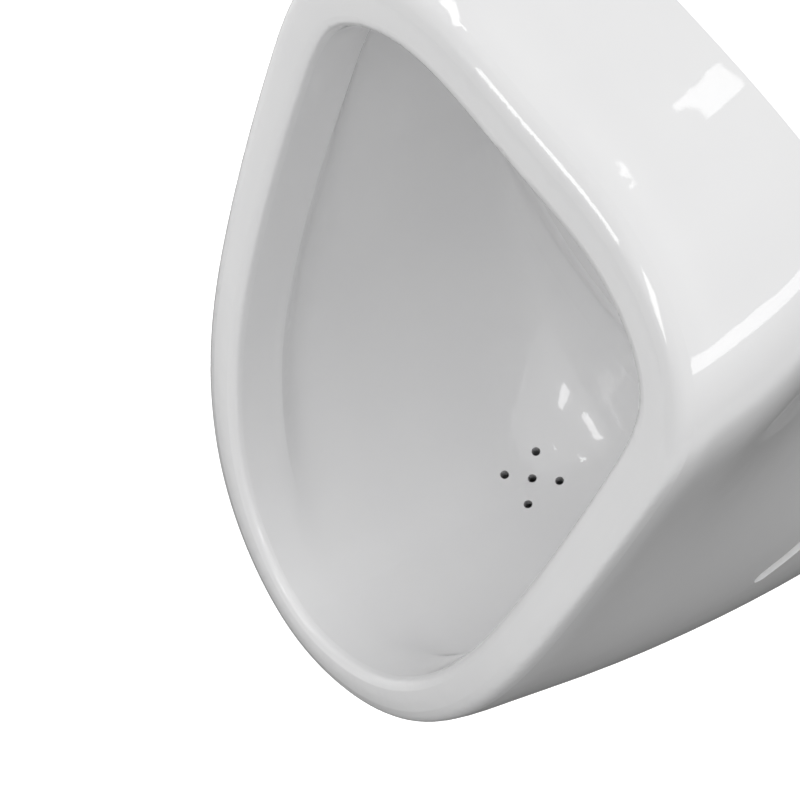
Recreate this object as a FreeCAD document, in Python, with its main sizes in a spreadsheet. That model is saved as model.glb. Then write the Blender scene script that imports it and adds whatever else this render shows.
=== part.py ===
import FreeCAD, Part
import Sketcher
import math
import os

# Wall hung urinal, millimetres. Facing it, +X is right, +Z is up and the wall is the plane y = 0.
# The origin lies on the wall, midway between the two upper fixing screws.

SIZES = {
    # outline of the rim: half widths at distances measured down the sloping rim from the hood's edge
    "hood_edge_depth": 89, "hood_edge_height": 123, "lip_depth": 349, "lip_height": -328,
    "rim_top_half": 96, "rim_top_drop": 7,
    "rim_corner_half": 158, "rim_corner_drop": 52,
    "rim_wide_half": 170, "rim_wide_drop": 129,
    "rim_waist_half": 163, "rim_waist_drop": 260,
    "rim_low_half": 140, "rim_low_drop": 390,
    "rim_chin_half": 84, "rim_chin_drop": 484,
    "rim_bow": 7.5, "rim_width": 30, "rim_outer_round": 9, "rim_inner_round": 7,
    "throat_depth": 34, "throat_round": 5, "throat_undercut": 14, "undercut_depth": 9,
    "flank_pace": 60, "bowl_pace": 18, "bowl_corner_start": 7,
    # outline of the rear edge against the wall: half widths at heights
    "back_top_height": 155, "back_top_half": 96, "back_top_sag": 4,
    "back_corner_half": 149, "back_corner_height": 128,
    "back_wide_half": 154, "back_wide_height": 20,
    "back_waist_half": 158, "back_waist_height": -190,
    "back_low_half": 165, "back_low_height": -390,
    "back_chin_half": 121, "back_chin_height": -494,
    "back_base_height": -528, "flank_bulge": 11,
    # bowl
    "china_wall": 12, "bowl_back_depth": 53, "bowl_back_round": 22,
    "bowl_top_height": 66, "bowl_foot_height": -270,
    "bowl_top_half": 98, "bowl_corner_half": 128, "bowl_wide_half": 134,
    "bowl_waist_half": 132, "bowl_low_half": 116, "bowl_chin_half": 68,
    "floor_front_depth": 230, "floor_front_height": -353,
    "drain_depth": 153, "drain_height": -366,
    "floor_rear_depth": 93, "floor_rear_height": -350,
    "sieve_hole_radius": 3, "sieve_square": 27, "sieve_thickness": 9,
    # flush ledge with its wave and its row of holes
    "ledge_front_depth": 85, "ledge_edge_depth": 63, "ledge_edge_height": 8, "ledge_band_rise": 24,
    "ledge_wave": 7, "ledge_wave_half": 55, "ledge_bulge": 6, "ledge_half_length": 142, "ledge_wall": 8,
    "flush_hole_radius": 2.7, "flush_hole_pitch": 24.5, "flush_chamber_top": 108,
    # ceramic outlet
    "sump_radius": 22.5, "sump_floor_height": -419, "sump_wall": 8.5,
    "horn_radius": 22, "horn_bore": 17, "horn_height": -400, "horn_end_depth": 107,
    # ceramic inlet
    "inlet_height": 66, "inlet_bore": 17.5, "inlet_boss_radius": 30, "inlet_face_depth": 10,
    # upper hangers in their pockets
    "hanger_spread": 90, "hanger_width": 34, "hanger_steel": 3, "hanger_foot": -20, "hanger_reach": 24,
    "hanger_lip": 9, "pocket_width": 40, "pocket_roof": 20, "pocket_foot": -26, "pocket_depth": 30,
    "groove_height": 10, "groove_rear_depth": 18, "pad_thickness": 2, "boss_width": 58, "boss_height": 80,
    # side fixings behind the oval holes
    "side_height": -257, "side_depth": 70, "oval_length": 50, "oval_height": 17, "oval_floor": 165,
    "side_boss_inner": 148, "side_boss_length": 62, "side_boss_height": 40, "side_hole_radius": 4.5,
    "cut_reach": 190,
    "bracket_steel": 3, "bracket_gap": 1, "bracket_height": 34, "bracket_leg": 87, "bracket_foot": 42,
    "bracket_anchor": 128, "clamp_thread_radius": 3, "clamp_length": 32, "clamp_head_radius": 5.5,
    "clamp_head_height": 3.4, "clamp_washer_radius": 7, "clamp_washer_thickness": 1.6,
    "clip_nut_half": 5, "clip_nut_thickness": 5,
    # wall screws and plugs
    "screw_radius": 4, "screw_length": 62, "screw_head_radius": 7.5, "screw_head_height": 5.5,
    "washer_radius": 10, "washer_thickness": 1.6, "plug_radius": 6, "plug_length": 60,
    # water inlet
    "nipple_radius": 10.4, "nipple_bore": 7, "nipple_wall_length": 20, "collar_radius": 15, "collar_length": 6,
    "inlet_tube_radius": 9, "inlet_tube_end": 44, "cone_length": 22, "cone_lip": 3, "cone_lip_radius": 22,
    # trap
    "trap_depth": 46, "trap_radius": 30, "trap_wall": 2.5, "trap_top": -370, "trap_foot": -437,
    "dip_radius": 17, "dip_wall": 2, "dip_foot": -452, "trap_inlet_radius": 22, "trap_inlet_end": 94,
    "trap_outlet_radius": 20, "trap_outlet_end": 32, "sleeve_radius": 24.5, "sleeve_front": 121,
    "sleeve_rear": 80,
    "band_thickness": 0.8, "band_width": 9, "worm_radius": 3,
    "cup_skirt_top": -424.5, "cup_wall": 2.5, "cup_foot": -466, "cup_clearance": 0.3, "cup_seal_height": 2.5,
    "cup_grip_depth": 1.5, "cup_grip_count": 12,
    # waste pipe in the wall
    "pipe_radius": 25, "pipe_wall": 1.8, "pipe_end": 95, "socket_radius": 30, "socket_front": 3,
    "socket_length": 38, "rosette_radius": 38, "rosette_thickness": 2.5,
}


doc = FreeCAD.newDocument("wall_hung_urinal")
sizes = doc.addObject("Spreadsheet::Sheet", "sizes")
for row, (alias, number) in enumerate(SIZES.items(), start=1):
    sizes.set(f"A{row}", alias)
    sizes.set(f"B{row}", str(number))
    sizes.setAlias(f"B{row}", alias)
doc.recompute()


def size(alias):
    return float(sizes.get(alias))


# ---------------------------------------------------------------- ceramic skin as a stack of closed rings

RING_STEPS = 3          # steps between two named outline points
V = FreeCAD.Vector
HOOD = V(0, -size("hood_edge_depth"), size("hood_edge_height"))
LIP = V(0, -size("lip_depth"), size("lip_height"))
DOWN_RIM = (LIP - HOOD).normalize()
INTO_BOWL = V(0, -DOWN_RIM.z, DOWN_RIM.y)
RIM_LENGTH = (LIP - HOOD).Length


def chord_shares(points):
    """Where each point lies on its way from the first to the last, from 0 to 1."""
    steps = [(b - a).Length for a, b in zip(points[:-1], points[1:])]
    return [sum(steps[:index]) / sum(steps) for index in range(len(points))]


def even_shares(count):
    return [index / (count - 1) for index in range(count)]


def half_curve(points, shares):
    """A smooth curve through the points that leaves and meets the middle plane squarely."""
    start = (points[1] - points[0]).Length / (shares[1] - shares[0])
    end = (points[-1] - points[-2]).Length / (shares[-1] - shares[-2])
    curve = Part.BSplineCurve()
    curve.interpolate(Points=points, Parameters=shares, Scale=False,
                      InitialTangent=V(start, 0, 0), FinalTangent=V(-end, 0, 0))
    return curve


def half_outline(corners):
    """Points along the smooth right half of an outline, from its top to its bottom."""
    corners = [V(across, down, 0) for across, down in corners]
    shares = chord_shares(corners)
    curve = half_curve(corners, shares)
    pace = Part.BSplineCurve()
    pace.interpolate(Points=[V(share, 0, 0) for share in shares], Parameters=even_shares(len(shares)))
    count = (len(corners) - 1) * RING_STEPS + 1
    return [curve.value(min(1, max(0, pace.value(share).x))) for share in even_shares(count)]


def along_ring(points, index):
    """The direction of a half ring at one of its points. Its ends run square to the middle plane."""
    if index == 0:
        return V(1, 0, 0)
    if index == len(points) - 1:
        return V(-1, 0, 0)
    return points[index + 1] - points[index - 1]


def inset_outline(points, inset):
    """The outline moved inwards by inset, square to itself."""
    moved = []
    for index, point in enumerate(points):
        along = along_ring(points, index)
        moved.append(point + V(-along.y, along.x, 0).normalize() * inset)
    return moved


def on_plane(points, top, bottom, length, bow=0.0):
    """Places outline points (across, down) on the plane that runs from top to bottom."""
    down = (bottom - top) * (1.0 / length)
    outwards = V(0, down.z, -down.y).normalize()
    placed = []
    for point in points:
        share = point.y / length
        placed.append(top + down * point.y + V(point.x, 0, 0) + outwards * (4 * share * (1 - share) * bow))
    return placed


def blend(first, second, share):
    return [a * (1 - share) + b * share for a, b in zip(first, second)]


RIM_HALF = [
    (0, 0),
    (size("rim_top_half"), size("rim_top_drop")),
    (size("rim_corner_half"), size("rim_corner_drop")),
    (size("rim_wide_half"), size("rim_wide_drop")),
    (size("rim_waist_half"), size("rim_waist_drop")),
    (size("rim_low_half"), size("rim_low_drop")),
    (size("rim_chin_half"), size("rim_chin_drop")),
    (0, RIM_LENGTH),
]
BACK_TOP = size("back_top_height")
BACK_HALF = [
    (0, 0),
    (size("back_top_half"), size("back_top_sag")),
    (size("back_corner_half"), BACK_TOP - size("back_corner_height")),
    (size("back_wide_half"), BACK_TOP - size("back_wide_height")),
    (size("back_waist_half"), BACK_TOP - size("back_waist_height")),
    (size("back_low_half"), BACK_TOP - size("back_low_height")),
    (size("back_chin_half"), BACK_TOP - size("back_chin_height")),
    (0, BACK_TOP - size("back_base_height")),
]
BOWL_LENGTH = size("bowl_top_height") - size("bowl_foot_height")
BOWL_HALF = [
    (0, 0),
    (size("bowl_top_half"), 0.02 * BOWL_LENGTH),
    (size("bowl_corner_half"), 0.08 * BOWL_LENGTH),
    (size("bowl_wide_half"), 0.25 * BOWL_LENGTH),
    (size("bowl_waist_half"), 0.5 * BOWL_LENGTH),
    (size("bowl_low_half"), 0.76 * BOWL_LENGTH),
    (size("bowl_chin_half"), 0.95 * BOWL_LENGTH),
    (0, BOWL_LENGTH),
]
RIM_OUTLINE = half_outline(RIM_HALF)
BACK_OUTLINE = half_outline(BACK_HALF)
BOWL_OUTLINE = half_outline(BOWL_HALF)


def rim_ring(inset, depth):
    """A ring of the rim: inset from its outer edge and depth behind its face."""
    points = inset_outline(RIM_OUTLINE, inset)
    return on_plane(points, HOOD + INTO_BOWL * depth, LIP + INTO_BOWL * depth, RIM_LENGTH, size("rim_bow"))


def back_ring(inset=0.0):
    height = BACK_TOP - size("back_base_height")
    points = inset_outline(BACK_OUTLINE, inset)
    return on_plane(points, V(0, 0, BACK_TOP), V(0, 0, size("back_base_height")), height)


def stretched(points, length, wanted):
    """An outline of the given length stretched to the wanted length. Its widths stay."""
    return [V(point.x, point.y * wanted / length, 0) for point in points]


def flank_ring(share, inset=0.0, bow=True):
    """A ring of the outer skin: share 0 is the rim's edge and share 1 the edge on the wall."""
    top = HOOD * (1 - share) + V(0, 0, BACK_TOP) * share
    bottom = LIP * (1 - share) + V(0, 0, size("back_base_height")) * share
    length = (bottom - top).Length
    rim = stretched(RIM_OUTLINE, RIM_LENGTH, length)
    back = stretched(BACK_OUTLINE, BACK_TOP - size("back_base_height"), length)
    points = blend(rim, back, share)
    bulge = 4 * share * (1 - share) * size("flank_bulge")
    full = []
    for index, point in enumerate(points):
        along = along_ring(points, index)
        sideways = abs(along.y) / along.Length
        full.append(point + V(bulge * sideways, 0, 0))
    rim_bow = size("rim_bow") * (1 - share) if bow else 0
    return on_plane(inset_outline(full, inset), top, bottom, length, rim_bow)


def soft_edge(before, edge, after):
    return [a * 0.25 + b * 0.5 + c * 0.25 for a, b, c in zip(before, edge, after)]


# the bowl's floor and roof in the middle plane, from the throat to the back, at these shares of the way
THROAT = [HOOD + INTO_BOWL * size("throat_depth") + DOWN_RIM * size("rim_width"),
          LIP + INTO_BOWL * size("throat_depth") - DOWN_RIM * size("rim_width")]
BOWL_FLOOR = [
    (0.0, THROAT[1]),
    (0.3, V(0, -size("floor_front_depth"), size("floor_front_height"))),
    (0.58, V(0, -size("drain_depth"), size("drain_height"))),
    (0.8, V(0, -size("floor_rear_depth"), size("floor_rear_height"))),
    (1.0, V(0, -size("bowl_back_depth"), size("bowl_foot_height"))),
]
floor_curve = Part.BSplineCurve()
floor_curve.interpolate(Points=[point for share, point in BOWL_FLOOR],
                        Parameters=[share for share, point in BOWL_FLOOR])
BOWL_ROOF_END = V(0, -size("bowl_back_depth"), size("bowl_top_height"))
THROAT_LENGTH = RIM_LENGTH - 2 * size("rim_width")


def bowl_ring(share, inset=0.0, bow=True):
    """A ring of the bowl: share 0 is the throat behind the rim and share 1 the flat of the back."""
    top = THROAT[0] + (BOWL_ROOF_END - THROAT[0]) * share
    bottom = floor_curve.value(share)
    length = (bottom - top).Length
    throat = inset_outline(RIM_OUTLINE, size("rim_width"))
    throat = stretched([p - V(0, size("rim_width"), 0) for p in throat], THROAT_LENGTH, length)
    back = stretched(BOWL_OUTLINE, BOWL_LENGTH, length)
    points = inset_outline(blend(throat, back, share), inset)
    rim_bow = size("rim_bow") * (1 - share) if bow else 0
    placed = on_plane(points, top, bottom, length, rim_bow)
    return [V(p.x * (1 + undercut(p) * (1 - share) / size("rim_wide_half")), p.y, p.z) for p in placed]


def undercut(point):
    """How far the bowl has widened behind the throat at a point's depth below it."""
    depth = max(0, (point - THROAT[0]).dot(INTO_BOWL))
    return size("throat_undercut") * (1 - math.exp(-depth / size("undercut_depth")))


def half_skin(rings, breaks=()):
    """Smooth faces through half rings that have the same number of points, parted at the rings in breaks."""
    around = even_shares(len(rings[0]))
    steps = [sum((b - a).Length for a, b in zip(first, second))
             for first, second in zip(rings[:-1], rings[1:])]
    along = [sum(steps[:index]) / sum(steps) for index in range(len(rings))]
    curves = [half_curve(ring, around) for ring in rings]
    columns = []
    for poles in zip(*[curve.getPoles() for curve in curves]):
        column = Part.BSplineCurve()
        column.interpolate(Points=list(poles), Parameters=along)
        columns.append(column)
    surface = Part.BSplineSurface()
    surface.buildFromPolesMultsKnots(
        [column.getPoles() for column in columns],
        curves[0].getMultiplicities(), columns[0].getMultiplicities(),
        curves[0].getKnots(), columns[0].getKnots(),
        False, False, curves[0].Degree, columns[0].Degree)
    borders = [0.0] + [along[index] for index in breaks] + [1.0]
    faces = []
    for first, last in zip(borders[:-1], borders[1:]):
        strip = surface.copy()
        strip.segment(0.0, 1.0, first, last)
        faces.append(strip.toShape())
    return faces, curves[0].toShape(), curves[-1].toShape()


def loft(rings, breaks=()):
    """A solid through half rings and their mirror images, with flat ends."""
    faces, first_end, last_end = half_skin(rings, breaks)
    middle, across = V(0, 0, 0), V(1, 0, 0)
    caps = [Part.Face(Part.Wire([end, end.mirror(middle, across)])) for end in (first_end, last_end)]
    shell = Part.Shell(faces + [face.mirror(middle, across) for face in faces] + caps)
    shell.sewShape()
    solid = Part.Solid(shell)
    return solid if solid.Volume > 0 else solid.reversed()


def ring_lengths(ring_at):
    """The length of the line through each point of the rings, from share 0 to share 1."""
    rings = [ring_at(share) for share in even_shares(9)]
    return [sum((b - a).Length for a, b in zip(line[:-1], line[1:])) for line in zip(*rings)]


def paced(way, step, start_pace, end_pace):
    """Distance along a way at a step from 0 to 1, setting off and arriving at the given paces."""
    return (way * (3 - 2 * step) * step ** 2 + start_pace * step * (1 - step) ** 2
            - end_pace * step ** 2 * (1 - step))


def flank_line(step):
    """A ring of the flank: step 0 lies beside the rim's edge and step 1 on the wall."""
    ring = []
    for index, length in enumerate(ring_lengths(flank_ring)):
        way = length - size("rim_outer_round")
        distance = size("rim_outer_round") + paced(way, step, size("flank_pace"), way)
        ring.append(flank_ring(distance / length)[index])
    return ring


def bowl_line(step):
    """A ring of the bowl: step 0 lies just behind the throat and step 1 just before the corner of the back."""
    ring = []
    for index, length in enumerate(ring_lengths(bowl_ring)):
        way = length - size("throat_round") - size("bowl_corner_start")
        distance = size("throat_round") + paced(way, step, size("bowl_pace"), size("bowl_pace"))
        ring.append(bowl_ring(distance / length)[index])
    return ring


SKIN_BREAKS = (5, 7, 8, 10, 12, 14, 21)     # the rings where one region of the skin meets the next


def skin_rings():
    """Half rings from the wall over the flank and the rim into the bowl, as far as the flat of its back."""
    edge = rim_ring(0, 0)
    beside_edge = flank_line(0)
    rim_face = rim_ring(size("rim_outer_round"), 0)
    above_edge = rim_ring(size("rim_width") - size("rim_inner_round"), 0)
    inner_edge = rim_ring(size("rim_width"), 0)
    below_edge = rim_ring(size("rim_width"), size("rim_inner_round"))
    rings = [flank_line(step) for step in (1.0, 0.8, 0.6, 0.4, 0.2)]
    rings += [beside_edge, soft_edge(beside_edge, edge, rim_face), rim_face]
    rings += [above_edge, soft_edge(above_edge, inner_edge, below_edge), below_edge]
    before_throat = rim_ring(size("rim_width"), size("throat_depth") - size("throat_round"))
    throat = rim_ring(size("rim_width"), size("throat_depth"))
    rings += [rim_ring(size("rim_width"), size("throat_depth") / 2), before_throat]
    rings += [soft_edge(before_throat, throat, bowl_line(0))]
    rings += [bowl_line(step) for step in even_shares(9)]
    rings += [bowl_ring(0.99, size("bowl_back_round") / 4), bowl_ring(1.0, size("bowl_back_round"))]
    return rings


# ---------------------------------------------------------------- ceramic: flush ledge, hollow back, outlet

def half_box(half_width, front, rear, foot, top):
    """A box across the middle plane, from depth front to depth rear."""
    return Part.makeBox(2 * half_width, front - rear, top - foot, V(-half_width, -front, foot))


def box_at(middle_x, width, front, rear, foot, top):
    return Part.makeBox(width, front - rear, top - foot, V(middle_x - width / 2, -front, foot))


def rod(radius, start, end):
    return Part.makeCylinder(radius, (end - start).Length, start, end - start)


def ledge_section(across, wall):
    """Outline of the flush ledge at one place across the bowl, inside its own wall thickness."""
    swing = math.cos(math.pi * across / size("ledge_wave_half"))
    fade = math.exp(-(across / (1.6 * size("ledge_wave_half"))) ** 2)
    drop = size("ledge_wave") * swing * fade
    bulge = size("ledge_bulge") * max(0, swing) * fade
    edge_height = size("ledge_edge_height") - drop
    edge_depth = size("ledge_edge_depth")
    front_depth = size("ledge_front_depth") + bulge
    rear_depth = size("bowl_back_depth") - size("china_wall") + 2
    band_rise = size("ledge_band_rise")
    slope = math.atan2(band_rise, front_depth - edge_depth)
    top = size("flush_chamber_top") + (0 if wall else size("ledge_wall"))
    corners = [
        V(across, -rear_depth - (4 if wall else 0), top),
        V(across, -(front_depth - wall), top),
        V(across, -(front_depth - wall), edge_height + band_rise + wall * math.tan(slope / 2)),
        V(across, -(edge_depth - (wall * 0.3 if wall else 0)), edge_height + wall * 1.3),
        V(across, -rear_depth - (4 if wall else 0), edge_height + wall * 1.3),
    ]
    return Part.makePolygon(corners + corners[:1])


def ledge_solid(half_length, wall):
    count = 24
    stations = [half_length * (2 * index / count - 1) for index in range(count + 1)]
    return Part.makeLoft([ledge_section(across, wall) for across in stations], True, False)


def inside_skin(inset):
    """The block that the outer skin bounds, as seen from inside it by inset."""
    return loft([flank_ring(share, inset, False) for share in (1.0, 0.75, 0.5, 0.3, 0.03)])


def flush_holes():
    """The row of holes, square to the ledge's sloping band."""
    drills = []
    for step in range(-6, 6):
        across = (step + 0.5) * size("flush_hole_pitch")
        corners = [vertex.Point for vertex in ledge_section(across, 0).Vertexes]
        middle = (corners[2] + corners[3]) * 0.5
        band = (corners[3] - corners[2]).normalize()
        outwards = V(0, band.z, -band.y)
        drills.append(rod(size("flush_hole_radius"), middle + outwards * 4, middle - outwards * 14))
    return drills


def rear_hollow(wall):
    """The space behind and below the bowl, open to the wall."""
    stations = (1.0, 0.75, 0.5, 0.3)
    rings = [[point + V(0, 1, 0) for point in back_ring(wall)]]
    rings += [flank_ring(share, wall, False) for share in stations]
    room = loft(rings)
    grown = [bowl_ring(share, -wall, False) for share in (0.0, 0.14, 0.3, 0.48, 0.66, 0.8, 0.92)]
    back = size("bowl_back_depth") - wall
    grown += [[V(p.x, -back, p.z) for p in bowl_ring(1.0, size("bowl_back_round") - wall)]]
    front = half_box(200, 400, back - 0.5, size("bowl_top_height") - 90, 300)
    return room.cut(Part.makeCompound([loft(grown), front]))


def bosses():
    """Solid china round the hanger pockets, the side fixings and the inlet."""
    wall_inside = size("bowl_back_depth") - size("china_wall") / 2
    parts = []
    for side in (-1, 1):
        roof = size("pocket_roof") + size("groove_height") + 15
        parts.append(box_at(side * size("hanger_spread"), size("boss_width"), wall_inside, 0,
                            roof - size("boss_height"), roof))
        low = size("side_height") - size("side_boss_height") / 2
        middle = (size("side_boss_inner") + size("oval_floor") + 6) / 2
        parts.append(box_at(side * middle, size("oval_floor") + 6 - size("side_boss_inner"),
                            size("side_depth") + size("side_boss_length") / 2,
                            size("side_depth") - size("side_boss_length") / 2,
                            low, low + size("side_boss_height")))
    parts.append(rod(size("inlet_boss_radius"), V(0, -wall_inside, size("inlet_height")),
                     V(0, -size("inlet_face_depth"), size("inlet_height"))))
    return parts


def fixing_cuts():
    """Hanger pockets with their grooves, and the oval recesses with their holes."""
    cuts = []
    for side in (-1, 1):
        middle = side * size("hanger_spread")
        cuts.append(box_at(middle, size("pocket_width"), size("pocket_depth"), -1,
                           size("pocket_foot"), size("pocket_roof")))
        cuts.append(box_at(middle, size("pocket_width"), size("pocket_depth"), size("groove_rear_depth"),
                           size("pocket_roof") - 1, size("pocket_roof") + size("groove_height")))
        radius = size("oval_height") / 2
        straight = size("oval_length") / 2 - radius
        depth, height = size("side_depth"), size("side_height")
        floor, outside = V(side * size("oval_floor"), 0, 0), V(side * size("cut_reach"), 0, 0)
        for end in (-depth - straight, -depth + straight):
            place = V(0, end, height)
            cuts.append(rod(radius, floor + place, outside + place))
        corner = V(min(floor.x, outside.x), -depth - straight, height - radius)
        cuts.append(Part.makeBox(size("cut_reach") - size("oval_floor"), 2 * straight, 2 * radius, corner))
        inside = V(side * (size("side_boss_inner") - 10), 0, 0)
        axis = V(0, -depth, height)
        cuts.append(rod(size("side_hole_radius"), inside + axis, outside + axis))
    return cuts


def outlet_solid():
    """Sump under the sieve, and the horn that leads back from it."""
    depth, outer = size("drain_depth"), size("sump_radius") + size("sump_wall")
    top = size("drain_height") - size("sieve_thickness") + 2
    sump = rod(outer, V(0, -depth, size("sump_floor_height") - size("sump_wall")), V(0, -depth, top))
    horn = rod(size("horn_radius"), V(0, -depth, size("horn_height")),
               V(0, -size("horn_end_depth"), size("horn_height")))
    return [sump, horn]


def outlet_cuts():
    depth = size("drain_depth")
    top = size("drain_height") - size("sieve_thickness")
    cuts = [rod(size("sump_radius"), V(0, -depth, size("sump_floor_height")), V(0, -depth, top)),
            rod(size("horn_bore"), V(0, -depth, size("horn_height")),
                V(0, -size("horn_end_depth") + 1, size("horn_height")))]
    half = size("sieve_square") / 2
    for across, along in ((0, 0), (-half, -half), (-half, half), (half, -half), (half, half)):
        place = V(across, along - depth, top - 2)
        cuts.append(rod(size("sieve_hole_radius"), place, place + V(0, 0, 22)))
    return cuts


def ceramic_shape():
    body = loft(skin_rings(), SKIN_BREAKS)
    bounds = inside_skin(size("china_wall") / 3)
    body = body.fuse(ledge_solid(size("ledge_half_length"), 0).common(bounds))
    body = body.cut(rear_hollow(size("china_wall")))
    body = body.fuse([boss.common(bounds) for boss in bosses()] + outlet_solid())
    inlet = rod(size("inlet_bore"), V(0, -size("bowl_back_depth") - 4, size("inlet_height")),
                V(0, 1, size("inlet_height")))
    chamber = ledge_solid(size("ledge_half_length") - size("ledge_wall") - 2, size("ledge_wall"))
    chamber = chamber.common(inside_skin(size("china_wall")))
    body = body.cut([inlet, chamber] + flush_holes() + fixing_cuts() + outlet_cuts())
    return body.removeSplitter()


# ---------------------------------------------------------------- pieces bound to the sheet

ALONG_Y = FreeCAD.Rotation(V(1, 0, 0), -90)     # a turned piece's own axis, Z, laid along +Y
ALONG_X = FreeCAD.Rotation(V(0, 1, 0), 90)      # the same axis laid along +X
UPRIGHT = FreeCAD.Rotation()
pieces = []


def expression(text):
    """Puts the sheet's name in front of each size in an expression."""
    words = []
    for word in text.replace("(", " ( ").replace(")", " ) ").split():
        words.append(f"sizes.{word}" if word in SIZES else word)
    return " ".join(words)


def place(item, rotation, at):
    item.Placement = FreeCAD.Placement(V(0, 0, 0), rotation)
    for axis, text in zip("xyz", at):
        item.setExpression(f"Placement.Base.{axis}", expression(text))


def origin_plane(body, role):
    return [feature for feature in body.Origin.OriginFeatures if feature.Role == role][0]


def sketch_outline(body, role, corners):
    """A closed sketch of straight lines whose corners are bound to the sheet."""
    sketch = body.newObject("Sketcher::SketchObject", body.Name + "_outline")
    sketch.AttachmentSupport = [(origin_plane(body, role), "")]
    sketch.MapMode = "FlatFace"
    points = [V(*[float(sketch.evalExpression(expression(text))) for text in corner], 0) for corner in corners]
    count = len(points)
    for index in range(count):
        sketch.addGeometry(Part.LineSegment(points[index], points[(index + 1) % count]), False)
    for index in range(count):
        sketch.addConstraint(Sketcher.Constraint("Coincident", index, 2, (index + 1) % count, 1))
    for index, corner in enumerate(corners):
        for kind, text, number in zip(("DistanceX", "DistanceY"), corner, points[index]):
            if text == "0":
                anchor = -2 if kind == "DistanceX" else -1
                sketch.addConstraint(Sketcher.Constraint("PointOnObject", index, 1, anchor))
            else:
                row = sketch.addConstraint(Sketcher.Constraint(kind, -1, 1, index, 1, number))
                sketch.setExpression(f"Constraints[{row}]", expression(text))
    return sketch


def turned(name, profile, rotation=UPRIGHT, at=("0", "0", "0")):
    """A piece turned about its own axis from a profile of (radius, height) corners."""
    body = doc.addObject("PartDesign::Body", name)
    sketch = sketch_outline(body, "XZ_Plane", profile)
    turn = body.newObject("PartDesign::Revolution", name + "_turn")
    turn.Profile = sketch
    turn.ReferenceAxis = (sketch, ["V_Axis"])
    turn.Angle = 360
    place(body, rotation, at)
    return body


def pressed(name, profile, width, at):
    """A bent strip: its outline in depth and height, made width wide about its middle."""
    body = doc.addObject("PartDesign::Body", name)
    sketch = sketch_outline(body, "YZ_Plane", profile)
    pad = body.newObject("PartDesign::Pad", name + "_pad")
    pad.Profile = sketch
    pad.setExpression("Length", expression(width))
    pad.Midplane = True
    place(body, UPRIGHT, at)
    return body


def cylinder(name, radius, length, rotation, at):
    item = doc.addObject("Part::Cylinder", name)
    item.setExpression("Radius", expression(radius))
    item.setExpression("Height", expression(length))
    place(item, rotation, at)
    return item


def box(name, length, width, height, at):
    item = doc.addObject("Part::Box", name)
    for side, text in zip(("Length", "Width", "Height"), (length, width, height)):
        item.setExpression(side, expression(text))
    place(item, UPRIGHT, at)
    return item


def prism(name, radius, height, rotation, at):
    item = doc.addObject("Part::Prism", name)
    item.Polygon = 6
    item.setExpression("Circumradius", expression(radius))
    item.setExpression("Height", expression(height))
    place(item, rotation, at)
    return item


def joined(name, items):
    item = doc.addObject("Part::MultiFuse", name)
    item.Shapes = items
    return item


def cut(name, base, tools):
    item = doc.addObject("Part::Cut", name)
    item.Base = base
    item.Tool = tools[0] if len(tools) == 1 else joined(name + "_tools", tools)
    return item


def group(name, items):
    item = doc.addObject("Part::Compound", name)
    item.Links = items
    return item


def piece(label, item):
    item.Label = label
    pieces.append(item)


def coded(label, shape):
    item = doc.addObject("Part::Feature", label + "_shape")
    item.Shape = shape
    piece(label, item)


# ---------------------------------------------------------------- upper hangers and wall screws

def hex_screw(name, at):
    """A coach screw along +Y, its washer face at the given place."""
    profile = [("0", "0 - screw_head_height"), ("screw_radius", "0 - screw_head_height"),
               ("screw_radius", "screw_length - screw_radius"), ("0", "screw_length")]
    shank = turned(name + "_shank", profile, ALONG_Y, at)
    head = prism(name + "_head", "screw_head_radius", "screw_head_height", ALONG_Y,
                 (at[0], at[1] + " - screw_head_height", at[2]))
    return joined(name, [shank, head])


def washer(name, at):
    profile = [("screw_radius + 0.4", "0"), ("washer_radius", "0"),
               ("washer_radius", "washer_thickness"), ("screw_radius + 0.4", "washer_thickness")]
    return turned(name, profile, ALONG_Y, at)


def plug(name, at):
    profile = [("screw_radius", "0"), ("plug_radius", "0"), ("plug_radius", "plug_length - 5"),
               ("plug_radius - 1.5", "plug_length"), ("screw_radius", "plug_length")]
    return turned(name, profile, ALONG_Y, at)


def wall_fixings(name, steel, places):
    """Screws, washers and plugs that hold sheet steel of the given thickness on the wall."""
    screws, washers, plugs = [], [], []
    for index, (across, height) in enumerate(places):
        washers.append(washer(f"{name}_washer_{index}", (across, f"0 - {steel} - washer_thickness", height)))
        screws.append(hex_screw(f"{name}_screw_{index}", (across, f"0 - {steel} - washer_thickness", height)))
        plugs.append(plug(f"{name}_plug_{index}", (across, "0", height)))
    piece(f"{name}_screws", group(f"{name}_screws", screws))
    piece(f"{name}_washers", group(f"{name}_washers", washers))
    piece(f"{name}_plugs", group(f"{name}_plugs", plugs))


def hanger(label, side):
    """A wall hook: plate with a screw hole, arm and upturned lip."""
    top, steel, reach = "pocket_roof - pad_thickness", "hanger_steel", "hanger_reach"
    profile = [("0", "hanger_foot"), ("0", top), (f"0 - {reach} + {steel}", top),
               (f"0 - {reach} + {steel}", f"{top} + hanger_lip"), (f"0 - {reach}", f"{top} + hanger_lip"),
               (f"0 - {reach}", f"{top} - {steel}"), (f"0 - {steel}", f"{top} - {steel}"),
               (f"0 - {steel}", "hanger_foot")]
    strip = pressed(label + "_strip", profile, "hanger_width", (f"{side} * hanger_spread", "0", "0"))
    hole = cylinder(label + "_hole", "screw_radius + 0.4", "2 * hanger_steel", ALONG_Y,
                    (f"{side} * hanger_spread", "0 - 1.5 * hanger_steel", "0"))
    piece(label, cut(label, strip, [hole]))


def hanger_pads():
    pads = []
    for side in ("-1", "1"):
        pads.append(box(f"pad_{len(pads)}", "hanger_width", "hanger_reach - hanger_steel - 1", "pad_thickness",
                        (f"{side} * hanger_spread - hanger_width / 2", "0 - hanger_reach + hanger_steel + 0.5",
                         "pocket_roof - pad_thickness")))
    piece("hanger_pads", group("hanger_pads", pads))


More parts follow.
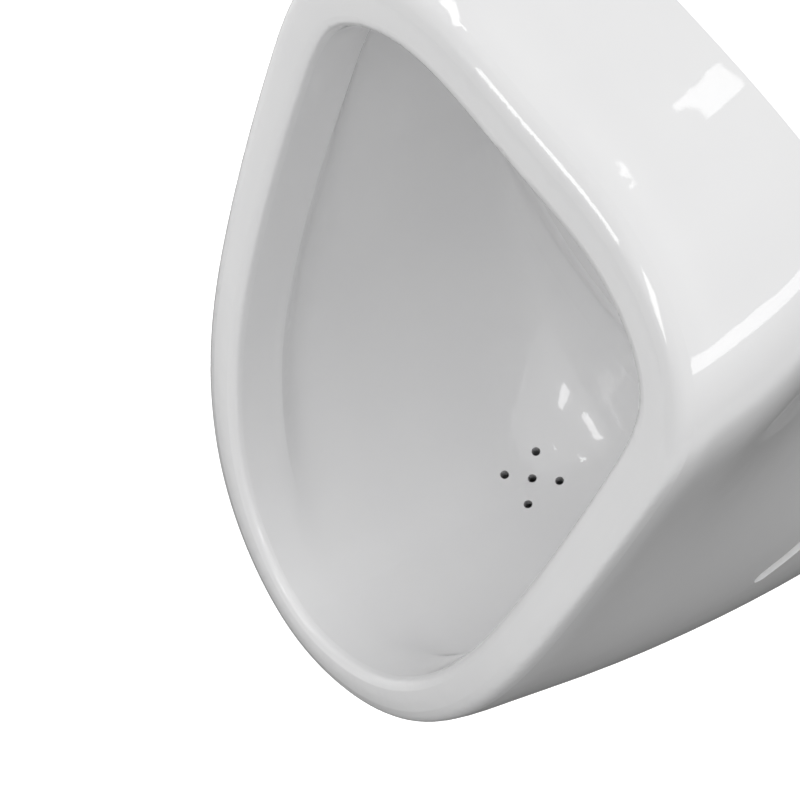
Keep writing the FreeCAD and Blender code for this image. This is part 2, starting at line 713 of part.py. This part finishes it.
hanger("left_hanger", "-1")
hanger("right_hanger", "1")
hanger_pads()
wall_fixings("hanger", "hanger_steel", [("0 - hanger_spread", "0"), ("hanger_spread", "0")])


# ---------------------------------------------------------------- side brackets behind the oval holes

def side_bracket(label, side):
    """An angle of flat steel: foot on the wall, leg beside the china with the clamp screw's hole."""
    leg_x = f"{side} * ( side_boss_inner - bracket_gap ) - {1 if side == '1' else 0} * bracket_steel"
    foot_x = ("side_boss_inner - bracket_gap - bracket_foot" if side == "1"
              else "0 - side_boss_inner + bracket_gap")
    low = "side_height - bracket_height / 2"
    leg = box(label + "_leg", "bracket_steel", "bracket_leg", "bracket_height", (leg_x, "0 - bracket_leg", low))
    foot = box(label + "_foot", "bracket_foot", "bracket_steel", "bracket_height",
               (foot_x, "0 - bracket_steel", low))
    anchor = cylinder(label + "_anchor_hole", "screw_radius + 0.4", "2 * bracket_steel", ALONG_Y,
                      (f"{side} * bracket_anchor", "0 - 1.5 * bracket_steel", "side_height"))
    start = "side_boss_inner - bracket_gap - 2 * bracket_steel"
    hole_x = start if side == "1" else "0 - side_boss_inner + bracket_gap - bracket_steel"
    clamp = cylinder(label + "_clamp_hole", "clamp_thread_radius + 0.3", "3 * bracket_steel", ALONG_X,
                     (hole_x, "0 - side_depth", "side_height"))
    piece(label, cut(label, joined(label + "_angle", [leg, foot]), [anchor, clamp]))


def clamp_nut(label, side):
    """A square clip nut on the inner face of a bracket's leg."""
    inner = "side_boss_inner - bracket_gap - bracket_steel"
    left = f"{inner} - clip_nut_thickness" if side == "1" else f"0 - ( {inner} )"
    block = box(label + "_block", "clip_nut_thickness", "2 * clip_nut_half", "2 * clip_nut_half",
                (left, "0 - side_depth - clip_nut_half", "side_height - clip_nut_half"))
    bore = cylinder(label + "_bore", "clamp_thread_radius + 0.05", "clip_nut_thickness + 4", ALONG_X,
                    (left + " - 2", "0 - side_depth", "side_height"))
    return cut(label, block, [bore])


def clamp_screw(label, side):
    """A socket head screw along X, its head's seat on the washer in the oval recess."""
    seat = "oval_floor + clamp_washer_thickness"
    profile = [("0", "0 - clamp_length"), ("clamp_thread_radius", "0 - clamp_length"),
               ("clamp_thread_radius", "0"), ("clamp_head_radius", "0"),
               ("clamp_head_radius", "clamp_head_height"),
               ("2.5", "clamp_head_height"), ("2.5", "1.2"), ("0", "1.2")]
    turn = ALONG_X if side == "1" else FreeCAD.Rotation(V(0, 1, 0), -90)
    piece(label, turned(label, profile, turn, (f"{side} * ( {seat} )", "0 - side_depth", "side_height")))


def clamp_washer(label, side):
    profile = [("clamp_thread_radius + 0.2", "0"), ("clamp_washer_radius", "0"),
               ("clamp_washer_radius", "clamp_washer_thickness"),
               ("clamp_thread_radius + 0.2", "clamp_washer_thickness")]
    turn = ALONG_X if side == "1" else FreeCAD.Rotation(V(0, 1, 0), -90)
    piece(label, turned(label, profile, turn, (f"{side} * oval_floor", "0 - side_depth", "side_height")))


side_bracket("left_side_bracket", "-1")
side_bracket("right_side_bracket", "1")
clamp_screw("left_clamp_screw", "-1")
clamp_screw("right_clamp_screw", "1")
clamp_washer("left_clamp_washer", "-1")
clamp_washer("right_clamp_washer", "1")
piece("clip_nuts", group("clip_nuts", [clamp_nut("left_clip_nut", "-1"), clamp_nut("right_clip_nut", "1")]))
wall_fixings("bracket", "bracket_steel",
             [("0 - bracket_anchor", "side_height"), ("bracket_anchor", "side_height")])


# ---------------------------------------------------------------- water inlet

def inlet_pieces():
    """Threaded nipple from the wall with its hexagon collar, and the rubber cone round its tube."""
    start = "nipple_wall_length"
    profile = [("nipple_bore", "0 - inlet_tube_end"), ("inlet_tube_radius", "0 - inlet_tube_end"),
               ("inlet_tube_radius", "0"), ("nipple_radius", "0"),
               ("nipple_radius", start + " - 1"), ("nipple_radius - 1", start), ("nipple_bore", start)]
    tube = turned("nipple_tube", profile, ALONG_Y, ("0", "0", "inlet_height"))
    collar = prism("nipple_collar", "collar_radius", "collar_length", ALONG_Y,
                   ("0", "0 - collar_length", "inlet_height"))
    bore = cylinder("collar_bore", "inlet_tube_radius - 0.5", "collar_length + 2", ALONG_Y,
                    ("0", "0 - collar_length - 1", "inlet_height"))
    piece("inlet_nipple", joined("inlet_nipple", [tube, cut("collar", collar, [bore])]))
    flange = "inlet_face_depth"
    cone = [("inlet_tube_radius", f"0 - {flange} - cone_length"),
            ("inlet_bore - 2", f"0 - {flange} - cone_length"), ("inlet_bore", f"0 - {flange}"),
            ("cone_lip_radius", f"0 - {flange}"), ("cone_lip_radius", f"0 - {flange} + cone_lip"),
            ("inlet_tube_radius", f"0 - {flange} + cone_lip")]
    piece("inlet_cone_seal", turned("inlet_cone_seal", cone, ALONG_Y, ("0", "0", "inlet_height")))


inlet_pieces()


# ---------------------------------------------------------------- trap and waste pipe

def trap_body():
    """Open bottle with a thread for its cup, the inlet spigot in front and the outlet spigot behind."""
    place_z = ("0", "0 - trap_depth", "0")
    shell = turned("trap_shell", [("0", "trap_top"), ("trap_radius", "trap_top"), ("trap_radius", "trap_foot"),
                                  ("trap_radius - trap_wall", "trap_foot"),
                                  ("trap_radius - trap_wall", "trap_top - trap_wall"),
                                  ("0", "trap_top - trap_wall")],
                   UPRIGHT, place_z)
    inner = "trap_radius - trap_wall"
    spigots = [cylinder("trap_inlet_outer", "trap_inlet_radius", "trap_inlet_end - trap_depth", ALONG_Y,
                        ("0", "0 - trap_inlet_end", "horn_height")),
               cylinder("trap_outlet_outer", "trap_outlet_radius", "trap_outlet_end + trap_depth", ALONG_Y,
                        ("0", "0 - trap_depth", "horn_height"))]
    bores = [cylinder("trap_inlet_bore", "trap_inlet_radius - trap_wall", "trap_inlet_end - trap_depth",
                      ALONG_Y,
                      ("0", "0 - trap_inlet_end - 1", "horn_height")),
             cylinder("trap_outlet_bore", "trap_outlet_radius - trap_wall",
                      "trap_outlet_end + trap_depth", ALONG_Y,
                      ("0", "0 - trap_depth + 5", "horn_height")),
             cylinder("trap_room", inner, "trap_top - trap_wall - trap_foot + 1", UPRIGHT,
                      ("0", "0 - trap_depth", "trap_foot - 1"))]
    piece("trap_body", cut("trap_body", joined("trap_outside", [shell] + spigots), bores))


def dip_tube():
    """Elbow inside the bottle that leads the inlet down under the water line."""
    reach = "trap_radius - trap_wall"
    outer = [cylinder("dip_down", "dip_radius", "horn_height - dip_foot", UPRIGHT,
                      ("0", "0 - trap_depth", "dip_foot")),
             cylinder("dip_in", "dip_radius", f"{reach} + 14", ALONG_Y,
                      ("0", f"0 - trap_depth - {reach} - 14", "horn_height"))]
    ball = doc.addObject("Part::Sphere", "dip_bend")
    ball.setExpression("Radius", expression("dip_radius"))
    place(ball, UPRIGHT, ("0", "0 - trap_depth", "horn_height"))
    lip = cylinder("dip_flange", "trap_inlet_radius - trap_wall - 0.1", "3", ALONG_Y,
                   ("0", f"0 - trap_depth - {reach} - 14", "horn_height"))
    inner = [cylinder("dip_down_bore", "dip_radius - dip_wall", "horn_height - dip_foot + 1", UPRIGHT,
                      ("0", "0 - trap_depth", "dip_foot - 1")),
             cylinder("dip_in_bore", "dip_radius - dip_wall", f"{reach} + 15", ALONG_Y,
                      ("0", f"0 - trap_depth - {reach} - 15", "horn_height"))]
    ball_bore = doc.addObject("Part::Sphere", "dip_bend_bore")
    ball_bore.setExpression("Radius", expression("dip_radius - dip_wall"))
    place(ball_bore, UPRIGHT, ("0", "0 - trap_depth", "horn_height"))
    piece("dip_tube", cut("dip_tube", joined("dip_outside", outer + [ball, lip]), inner + [ball_bore]))


def trap_cup():
    """Screwed cup under the bottle, with shallow grip flutes, and its seal ring."""
    skirt = "trap_radius + cup_clearance"
    profile = [("0", "cup_foot"), (f"{skirt} + cup_wall - 6", "cup_foot"),
               (f"{skirt} + cup_wall", "cup_foot + 6"),
               (f"{skirt} + cup_wall", "cup_skirt_top"), (skirt, "cup_skirt_top"),
               (skirt, "trap_foot - cup_seal_height"),
               ("trap_radius - trap_wall", "trap_foot - cup_seal_height"),
               ("trap_radius - trap_wall", "cup_foot + 8"),
               ("trap_radius - trap_wall - 6", "cup_foot + cup_wall"),
               ("0", "cup_foot + cup_wall")]
    bowl = turned("cup_bowl", profile, UPRIGHT, ("0", "0 - trap_depth", "0"))
    flutes = []
    step = 360 / size("cup_grip_count")
    for index in range(int(size("cup_grip_count"))):
        turn = math.radians(index * step)
        reach = "( trap_radius + cup_clearance + cup_wall + cup_grip_depth )"
        flutes.append(cylinder(f"flute_{index}", "2 * cup_grip_depth", "cup_skirt_top - cup_foot + 2", UPRIGHT,
                               (f"{math.cos(turn):.6f} * {reach}",
                                f"{math.sin(turn):.6f} * {reach} - trap_depth",
                                "cup_foot - 1")))
    piece("trap_cup", cut("trap_cup", bowl, flutes))
    foot = "trap_foot - cup_seal_height"
    ring = [("trap_radius - trap_wall", foot), ("trap_radius", foot),
            ("trap_radius", "trap_foot"), ("trap_radius - trap_wall", "trap_foot")]
    piece("cup_seal", turned("cup_seal", ring, UPRIGHT, ("0", "0 - trap_depth", "0")))


def outlet_sleeve():
    """Rubber sleeve over the china horn and the trap's inlet, with two stops between them."""
    profile = [("horn_radius", "0 - sleeve_front"), ("sleeve_radius", "0 - sleeve_front"),
               ("sleeve_radius", "0 - sleeve_rear"), ("horn_radius", "0 - sleeve_rear"),
               ("horn_radius", "0 - trap_inlet_end"), ("horn_radius - 2", "0 - trap_inlet_end"),
               ("horn_radius - 2", "0 - horn_end_depth"), ("horn_radius", "0 - horn_end_depth")]
    piece("outlet_sleeve", turned("outlet_sleeve", profile, ALONG_Y, ("0", "0", "horn_height")))


def clamp_bands():
    """Two worm drive bands round the sleeve, each with its housing."""
    bands = []
    for index, middle in enumerate(("sleeve_front - 7", "sleeve_rear + 7")):
        profile = [("sleeve_radius", f"0 - ( {middle} ) - band_width / 2"),
                   ("sleeve_radius + band_thickness", f"0 - ( {middle} ) - band_width / 2"),
                   ("sleeve_radius + band_thickness", f"0 - ( {middle} ) + band_width / 2"),
                   ("sleeve_radius", f"0 - ( {middle} ) + band_width / 2")]
        band = turned(f"band_{index}", profile, ALONG_Y, ("0", "0", "horn_height"))
        top = "horn_height - sleeve_radius - band_thickness"
        house = box(f"band_house_{index}", "14", "band_width", "2 * worm_radius + 2",
                    ("0 - 7", f"0 - ( {middle} ) - band_width / 2", f"{top} - 2 * worm_radius - 1.5"))
        bore = cylinder(f"band_bore_{index}", "worm_radius + 0.2", "16", ALONG_X,
                        ("0 - 8", f"0 - ( {middle} )", f"{top} - worm_radius - 0.8"))
        bands.append(cut(f"clamp_{index}", joined(f"band_round_{index}", [band, house]), [bore]))
    piece("sleeve_clamps", group("sleeve_clamps", bands))


def worm_screw(label, middle):
    profile = [("0", "0 - 8"), ("worm_radius", "0 - 8"), ("worm_radius", "8"), ("worm_radius + 1.2", "8"),
               ("worm_radius + 1.2", "11"), ("0", "11")]
    top = "horn_height - sleeve_radius - band_thickness"
    piece(label, turned(label, profile, ALONG_X, ("0", f"0 - ( {middle} )", f"{top} - worm_radius - 0.8")))


def waste_pipe():
    """Wall connector: socket for the trap's outlet with its lip seal, and the plain pipe end behind."""
    wall, front = "pipe_wall", "socket_front"
    rear = "socket_front + socket_length"
    profile = [("socket_radius - 2", front), ("socket_radius", front), ("socket_radius", rear),
               ("pipe_radius", f"{rear} + 6"), ("pipe_radius", "pipe_end - 3"), ("pipe_radius - 1", "pipe_end"),
               (f"pipe_radius - {wall}", "pipe_end"), (f"pipe_radius - {wall}", f"{rear} + 5"),
               ("socket_radius - 2", f"{rear} - 1")]
    piece("waste_pipe", turned("waste_pipe", profile, ALONG_Y, ("0", "0", "horn_height")))
    seal = [("trap_outlet_radius", front), ("socket_radius - 2", front),
            ("socket_radius - 2", f"{front} + 20"), ("trap_outlet_radius + 3", f"{front} + 22"),
            ("trap_outlet_radius", f"{front} + 22")]
    piece("waste_seal", turned("waste_seal", seal, ALONG_Y, ("0", "0", "horn_height")))
    rosette = [("trap_outlet_radius + 0.3", "0 - rosette_thickness"),
               ("rosette_radius - 2", "0 - rosette_thickness"),
               ("rosette_radius", "0"), ("trap_outlet_radius + 0.3", "0")]
    piece("wall_rosette", turned("wall_rosette", rosette, ALONG_Y, ("0", "0", "horn_height")))


trap_body()
dip_tube()
trap_cup()
outlet_sleeve()
clamp_bands()
worm_screw("front_worm_screw", "sleeve_front - 7")
worm_screw("rear_worm_screw", "sleeve_rear + 7")
waste_pipe()
coded("ceramic_body", ceramic_shape())


# ---------------------------------------------------------------- checks and export

doc.recompute()
failed = [item.Name for item in doc.Objects if {"Invalid", "Error"} & set(item.State)]
if failed:
    raise RuntimeError(f"failed objects: {failed}")
os.makedirs("parts", exist_ok=True)
for item in pieces:
    if item.Shape.isNull() or not item.Shape.isValid():
        raise RuntimeError(f"{item.Label} has a bad shape")
for item in pieces:
    item.Shape.exportStep(f"parts/{item.Label}.step")
    print(f"{item.Label}: {len(item.Shape.Solids)} solids, {item.Shape.Volume / 1000:.1f} cm3")
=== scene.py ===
import math

import bpy
from mathutils import Matrix, Vector

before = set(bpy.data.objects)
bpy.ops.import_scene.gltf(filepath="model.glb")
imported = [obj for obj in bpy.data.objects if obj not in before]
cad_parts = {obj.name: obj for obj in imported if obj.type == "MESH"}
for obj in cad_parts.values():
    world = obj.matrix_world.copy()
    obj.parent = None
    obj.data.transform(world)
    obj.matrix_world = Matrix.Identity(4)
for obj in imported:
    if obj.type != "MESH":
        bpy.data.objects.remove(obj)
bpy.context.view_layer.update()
MM = 0.001


# ---------------------------------------------------------------- materials

def linear(hex_colour):
    """An sRGB hex colour as a linear RGBA value."""
    channels = [int(hex_colour[i:i + 2], 16) / 255 for i in (1, 3, 5)]
    return [c / 12.92 if c <= 0.04045 else ((c + 0.055) / 1.055) ** 2.4 for c in channels] + [1.0]


def add_node(tree, kind, settings=None, **links):
    """Adds a node, sets its properties and sockets, and links sockets that are given as other sockets."""
    node = tree.nodes.new(kind)
    for name, value in (settings or {}).items():
        setattr(node, name, value)
    for name, value in links.items():
        key = int(name[1:]) if name[0] == "_" and name[1:].isdigit() else name.replace("_", " ")
        socket = node.inputs[key]
        if isinstance(value, bpy.types.NodeSocket):
            tree.links.new(value, socket)
        else:
            socket.default_value = value
    return node


def new_material(name):
    """An empty material with a Principled shader wired to its output."""
    material = bpy.data.materials.new(name)
    material.use_nodes = True
    tree = material.node_tree
    tree.nodes.clear()
    shader = add_node(tree, "ShaderNodeBsdfPrincipled")
    add_node(tree, "ShaderNodeOutputMaterial")
    show(tree, shader.outputs["BSDF"])
    return material, tree, shader


def mottled(tree, shader, light, dark, size_mm, detail=3.0):
    """Colour that drifts between two near tones over patches of the given size."""
    place = add_node(tree, "ShaderNodeTexCoord")
    noise = add_node(tree, "ShaderNodeTexNoise", Vector=place.outputs["Object"],
                     Scale=1 / (size_mm * MM), Detail=detail)
    tones = add_node(tree, "ShaderNodeMix", {"data_type": "RGBA"}, _0=noise.outputs["Fac"],
                     _6=linear(dark), _7=linear(light))
    tree.links.new(tones.outputs[2], shader.inputs["Base Color"])


def grained(tree, shader, size_mm, height_mm, socket="Normal", detail=2.0, stretch=(1, 1, 1)):
    """Fine relief of the given grain size and height."""
    place = add_node(tree, "ShaderNodeTexCoord")
    turn = add_node(tree, "ShaderNodeMapping", Vector=place.outputs["Object"], Scale=stretch)
    noise = add_node(tree, "ShaderNodeTexNoise", Vector=turn.outputs["Vector"],
                     Scale=1 / (size_mm * MM), Detail=detail)
    relief = add_node(tree, "ShaderNodeBump", Strength=1.0, Distance=height_mm * MM,
                      Height=noise.outputs["Fac"])
    tree.links.new(relief.outputs["Normal"], shader.inputs[socket])


def show(tree, surface):
    """Wires a shader to the output of a material or a world, in place of what was wired to it."""
    output = next(node for node in tree.nodes if node.type in ("OUTPUT_MATERIAL", "OUTPUT_WORLD"))
    tree.links.new(surface, output.inputs["Surface"])


def set_shader(shader, **values):
    """Sets numbers and colours on the shader's own sockets."""
    for name, value in values.items():
        shader.inputs[name.replace("_", " ")].default_value = value


# Sizes of patches and grain are in mm. The grain of rubber, plastic and plated steel is well under 0.3 mm on the
# real pieces, too fine to show, so it is drawn at 0.8 to 2 mm here, and as shallow as it is.

def glazed_vitreous_china():
    """Fired white glaze over a dense white body: a clear wet gloss that pools and thins a little."""
    material, tree, shader = new_material("glazed_vitreous_china")
    mottled(tree, shader, "#F0F0F0", "#EBEBEC", 60)
    set_shader(shader, Roughness=0.32, IOR=1.5, Coat_Weight=1.0, Coat_Roughness=0.035, Coat_IOR=1.52)
    grained(tree, shader, 38, 0.05, "Coat Normal")
    return material


def zinc_plated_steel():
    """Bright zinc on rolled sheet: a cool grey with a faint spangle and directionless rub marks."""
    material, tree, shader = new_material("zinc_plated_steel")
    mottled(tree, shader, "#C9CCD0", "#AEB2B8", 4)
    set_shader(shader, Metallic=1.0, Roughness=0.34)
    grained(tree, shader, 1.5, 0.01)
    return material


def turned_stainless_steel():
    """Stainless screws and bands: brighter and warmer than zinc, with fine drawn lines."""
    material, tree, shader = new_material("turned_stainless_steel")
    mottled(tree, shader, "#D3D2CF", "#BCBBB8", 3)
    set_shader(shader, Metallic=1.0, Roughness=0.26)
    grained(tree, shader, 1.0, 0.008, stretch=(0.1, 1, 1))
    return material


def chromed_brass():
    """Polished chrome over brass: a clean mirror with hardly any texture."""
    material, tree, shader = new_material("chromed_brass")
    mottled(tree, shader, "#DADCDF", "#D2D4D8", 12)
    set_shader(shader, Metallic=1.0, Roughness=0.08)
    grained(tree, shader, 9, 0.004)
    return material


def moulded_epdm_rubber():
    """Black moulded rubber: dull, slightly greyed by mould release."""
    material, tree, shader = new_material("moulded_epdm_rubber")
    mottled(tree, shader, "#2B2B2C", "#1F1F20", 6)
    set_shader(shader, Roughness=0.62, IOR=1.5)
    grained(tree, shader, 0.8, 0.02)
    return material


def moulded_nylon():
    """Grey nylon wall plugs: milky, soft sheen."""
    material, tree, shader = new_material("moulded_nylon")
    mottled(tree, shader, "#A7A9AB", "#97999B", 5)
    set_shader(shader, Roughness=0.45, IOR=1.53)
    grained(tree, shader, 1.2, 0.015)
    return material


def moulded_white_polypropylene():
    """White injection moulded trap parts: satin, faintly warm."""
    material, tree, shader = new_material("moulded_white_polypropylene")
    mottled(tree, shader, "#ECEBE6", "#E2E1DB", 9)
    set_shader(shader, Roughness=0.38, IOR=1.49)
    grained(tree, shader, 1.6, 0.012)
    return material


def extruded_grey_polypropylene():
    """Grey drain pipe: satin with long faint draw lines."""
    material, tree, shader = new_material("extruded_grey_polypropylene")
    mottled(tree, shader, "#76797C", "#6A6D70", 8)
    set_shader(shader, Roughness=0.42, IOR=1.49)
    grained(tree, shader, 2.0, 0.02, stretch=(1, 0.08, 1))
    return material


def cast_elastomer():
    """Dark grey bearing pads: matt, closed cells."""
    material, tree, shader = new_material("cast_elastomer")
    mottled(tree, shader, "#4A4B4D", "#3D3E40", 3)
    set_shader(shader, Roughness=0.7, IOR=1.5)
    grained(tree, shader, 0.9, 0.03)
    return material


FINISHES = {
    glazed_vitreous_china: ["ceramic_body"],
    zinc_plated_steel: ["left_hanger", "right_hanger", "hanger_screws", "hanger_washers", "left_side_bracket",
                        "right_side_bracket", "bracket_screws", "bracket_washers", "clip_nuts"],
    turned_stainless_steel: ["left_clamp_screw", "right_clamp_screw", "left_clamp_washer", "right_clamp_washer",
                             "sleeve_clamps", "front_worm_screw", "rear_worm_screw"],
    chromed_brass: ["inlet_nipple"],
    moulded_epdm_rubber: ["inlet_cone_seal", "outlet_sleeve", "cup_seal", "waste_seal"],
    moulded_nylon: ["hanger_plugs", "bracket_plugs"],
    moulded_white_polypropylene: ["trap_body", "dip_tube", "trap_cup", "wall_rosette"],
    extruded_grey_polypropylene: ["waste_pipe"],
    cast_elastomer: ["hanger_pads"],
}
for make, nodes in FINISHES.items():
    finish = make()
    for node in nodes:
        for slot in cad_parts[node].material_slots:
            slot.material = finish


# ---------------------------------------------------------------- floor, light and camera

# Metres, unless a name says otherwise. The floor lies well below, because the object hangs on a wall.
FLOOR_HEIGHT = -0.98
FLOOR_REACH = 6.0
FLOOR_GLOW = 0.45                   # what the floor shines by itself where it is seen, so that it looks white
SHADE_SHEET_PLACE = (0.25, -0.05, FLOOR_HEIGHT + 0.02)
SHADE_SHEET_FULL, SHADE_SHEET_REACH = 0.8, 2.2  # radii within which the painted shade sheet is full, and beyond which it is gone
SKY_LEVEL = 0.06                    # fill light that comes evenly from everywhere
SKY_GLOWS = [(1.20, (0, -0.30, 0.95)),          # strength and direction: overhead, a little to the front
             (1.25, (0, 0.60, 0.80)),           # from above and behind
             (0.40, (0.80, -0.20, 0.55))]       # on the right, which models the flank
GLOW_FALLOFF = 3.0                  # power of the cosine by which each glow fades

# Lamps that show only in the gloss, each for one highlight: the point of the china that mirrors it (mm), the
# direction towards it, its distance, width, height, brightness (1 is the white background) and roll (radians).
SOFTBOXES = {
    "hood_softbox": ((57, -25, 147), (-0.27, -0.40, 0.875), 1.6, 0.19, 0.045, 3.8, 0.57),
    "left_softbox": ((-68, -80, 126), (-0.56, -0.50, 0.66), 1.8, 0.30, 0.16, 5, 0),
    "right_strip": ((150, -70, 104), (0.72, -0.38, 0.58), 1.6, 0.62, 0.20, 3.8, 0),
    "front_softbox": ((112, -96, 108), (-0.02, -0.87, 0.47), 1.6, 0.20, 0.60, 5, 0),
    "edge_softbox": ((60, -95, 115), (-0.37, -0.87, 0.31), 1.6, 0.42, 0.24, 5, 0),
}

CAMERA_MM = (468, -282, 1149)
CAMERA_RIGHT, CAMERA_UP = (0.579, 0.798, -0.165), (-0.720, 0.596, 0.356)
CAMERA_AHEAD = (-0.382, 0.088, -0.920)          # the way the lens looked, before the picture was cropped
AXIS_PX = (414.8, 295.3)                        # where that way meets the picture, from its top left corner
FOCAL_PX, FRAME_PX = 2311.0, 800.0
SENSOR_MM = 36.0


def seen_or_mirrored(tree):
    """1 for what is seen straight, in the gloss or through glass. 0 for what only lights the object."""
    path = add_node(tree, "ShaderNodeLightPath")
    straight = add_node(tree, "ShaderNodeMath", {"operation": "MAXIMUM"}, _0=path.outputs["Is Camera Ray"],
                        _1=path.outputs["Is Glossy Ray"])
    either = add_node(tree, "ShaderNodeMath", {"operation": "MAXIMUM"}, _0=straight.outputs[0],
                      _1=path.outputs["Is Transmission Ray"])
    return either.outputs[0]


def make_floor():
    """A wide pale floor. It looks white, keeps the object's shadow, and throws little light back up."""
    bpy.ops.mesh.primitive_plane_add(size=2 * FLOOR_REACH, location=(0, 0, FLOOR_HEIGHT))
    floor = bpy.context.object
    floor.name = "floor"
    material, tree, shader = new_material("pale_floor")
    set_shader(shader, Base_Color=linear("#F4F4F4"), Roughness=0.9, Specular_IOR_Level=0.0,
               Emission_Color=linear("#FFFFFF"), Emission_Strength=FLOOR_GLOW)
    soft = add_node(tree, "ShaderNodeBsdfDiffuse", Color=linear("#9C9C9C"))
    mix = add_node(tree, "ShaderNodeMixShader", _0=seen_or_mirrored(tree), _1=soft.outputs[0],
                   _2=shader.outputs[0])
    show(tree, mix.outputs[0])
    floor.data.materials.append(material)


def make_painted_shade_sheet():
    """A dark sheet with soft edges on the floor that shows only in the gloss: painted shade in the reflections
    of the object's lower sides.
    """
    bpy.ops.mesh.primitive_plane_add(size=2 * SHADE_SHEET_REACH, location=SHADE_SHEET_PLACE)
    shade_sheet = bpy.context.object
    shade_sheet.name = "painted_shade_sheet"
    material, tree, shader = new_material("shade_reflection_grey")
    set_shader(shader, Base_Color=linear("#6C6C6C"), Roughness=0.95, Specular_IOR_Level=0.0)
    place = add_node(tree, "ShaderNodeTexCoord")
    away = add_node(tree, "ShaderNodeVectorMath", {"operation": "LENGTH"}, _0=place.outputs["Object"])
    cover = add_node(tree, "ShaderNodeMapRange", {"interpolation_type": "SMOOTHSTEP"},
                     Value=away.outputs["Value"], _1=SHADE_SHEET_FULL, _2=SHADE_SHEET_REACH, _3=1.0, _4=0.0)
    clear = add_node(tree, "ShaderNodeBsdfTransparent")
    mix = add_node(tree, "ShaderNodeMixShader", _0=cover.outputs[0], _1=clear.outputs[0],
                   _2=shader.outputs[0])
    show(tree, mix.outputs[0])
    shade_sheet.data.materials.append(material)
    # Hidden from the camera, from diffuse light and from shadows, the sheet only paints shade into reflections.
    shade_sheet.visible_camera = False
    shade_sheet.visible_diffuse = False
    shade_sheet.visible_shadow = False


def make_world():
    """An even white sky to look at, and broad soft glows that light the object."""
    world = bpy.data.worlds.new("studio")
    world.use_nodes = True
    tree = world.node_tree
    tree.nodes.clear()
    place = add_node(tree, "ShaderNodeTexCoord")
    total = add_node(tree, "ShaderNodeValue").outputs[0]
    total.default_value = SKY_LEVEL
    for strength, towards in SKY_GLOWS:
        facing = add_node(tree, "ShaderNodeVectorMath", {"operation": "DOT_PRODUCT"},
                          _0=place.outputs["Generated"], _1=Vector(towards).normalized())
        facing = add_node(tree, "ShaderNodeMath", {"operation": "MAXIMUM"}, _0=facing.outputs["Value"], _1=0.0)
        fade = add_node(tree, "ShaderNodeMath", {"operation": "POWER"}, _0=facing.outputs[0], _1=GLOW_FALLOFF)
        total = add_node(tree, "ShaderNodeMath", {"operation": "MULTIPLY_ADD"}, _0=fade.outputs[0], _1=strength,
                         _2=total).outputs[0]
    fill = add_node(tree, "ShaderNodeBackground", Color=linear("#FFFFFF"), Strength=total)
    shown = add_node(tree, "ShaderNodeBackground", Color=linear("#FFFFFF"), Strength=1.0)
    mix = add_node(tree, "ShaderNodeMixShader", _0=seen_or_mirrored(tree), _1=fill.outputs[0],
                   _2=shown.outputs[0])
    add_node(tree, "ShaderNodeOutputWorld")
    show(tree, mix.outputs[0])
    bpy.context.scene.world = world


def make_softbox(name, point, towards, distance, width, height, brightness, roll):
    """A rectangular lamp that shows only in the gloss, and faces the point of the object that mirrors it."""
    point, towards = Vector(point) * MM, Vector(towards).normalized()
    data = bpy.data.lights.new(name, "AREA")
    data.shape = "RECTANGLE"
    data.size, data.size_y = width, height
    data.energy = brightness * math.pi * width * height
    lamp = bpy.data.objects.new(name, data)
    lamp.visible_diffuse = False
    bpy.context.collection.objects.link(lamp)
    turn = (-towards).to_track_quat("-Z", "Y").to_matrix().to_4x4()
    lamp.matrix_world = Matrix.Translation(point + towards * distance) @ turn @ Matrix.Rotation(roll, 4, "Z")


def make_camera():
    """The photograph's view: from above, over the right flank, down into the bowl."""
    middle = FRAME_PX / 2
    right, up, ahead = Vector(CAMERA_RIGHT), Vector(CAMERA_UP), Vector(CAMERA_AHEAD)
    ahead += right * (middle - AXIS_PX[0]) / FOCAL_PX - up * (middle - AXIS_PX[1]) / FOCAL_PX
    ahead.normalize()
    right = ahead.cross(up).normalized()
    up = right.cross(ahead).normalized()
    data = bpy.data.cameras.new("photo_camera")
    data.sensor_width = SENSOR_MM
    data.lens = FOCAL_PX / FRAME_PX * SENSOR_MM
    camera = bpy.data.objects.new("photo_camera", data)
    bpy.context.collection.objects.link(camera)
    turn = Matrix((right, up, -ahead)).transposed().to_4x4()
    camera.matrix_world = Matrix.Translation(Vector(CAMERA_MM) * MM) @ turn
    bpy.context.scene.camera = camera


make_floor()
make_painted_shade_sheet()
make_world()
for lamp_name, lamp in SOFTBOXES.items():
    make_softbox(lamp_name, *lamp)
make_camera()
bpy.context.scene.view_settings.view_transform = "Standard"
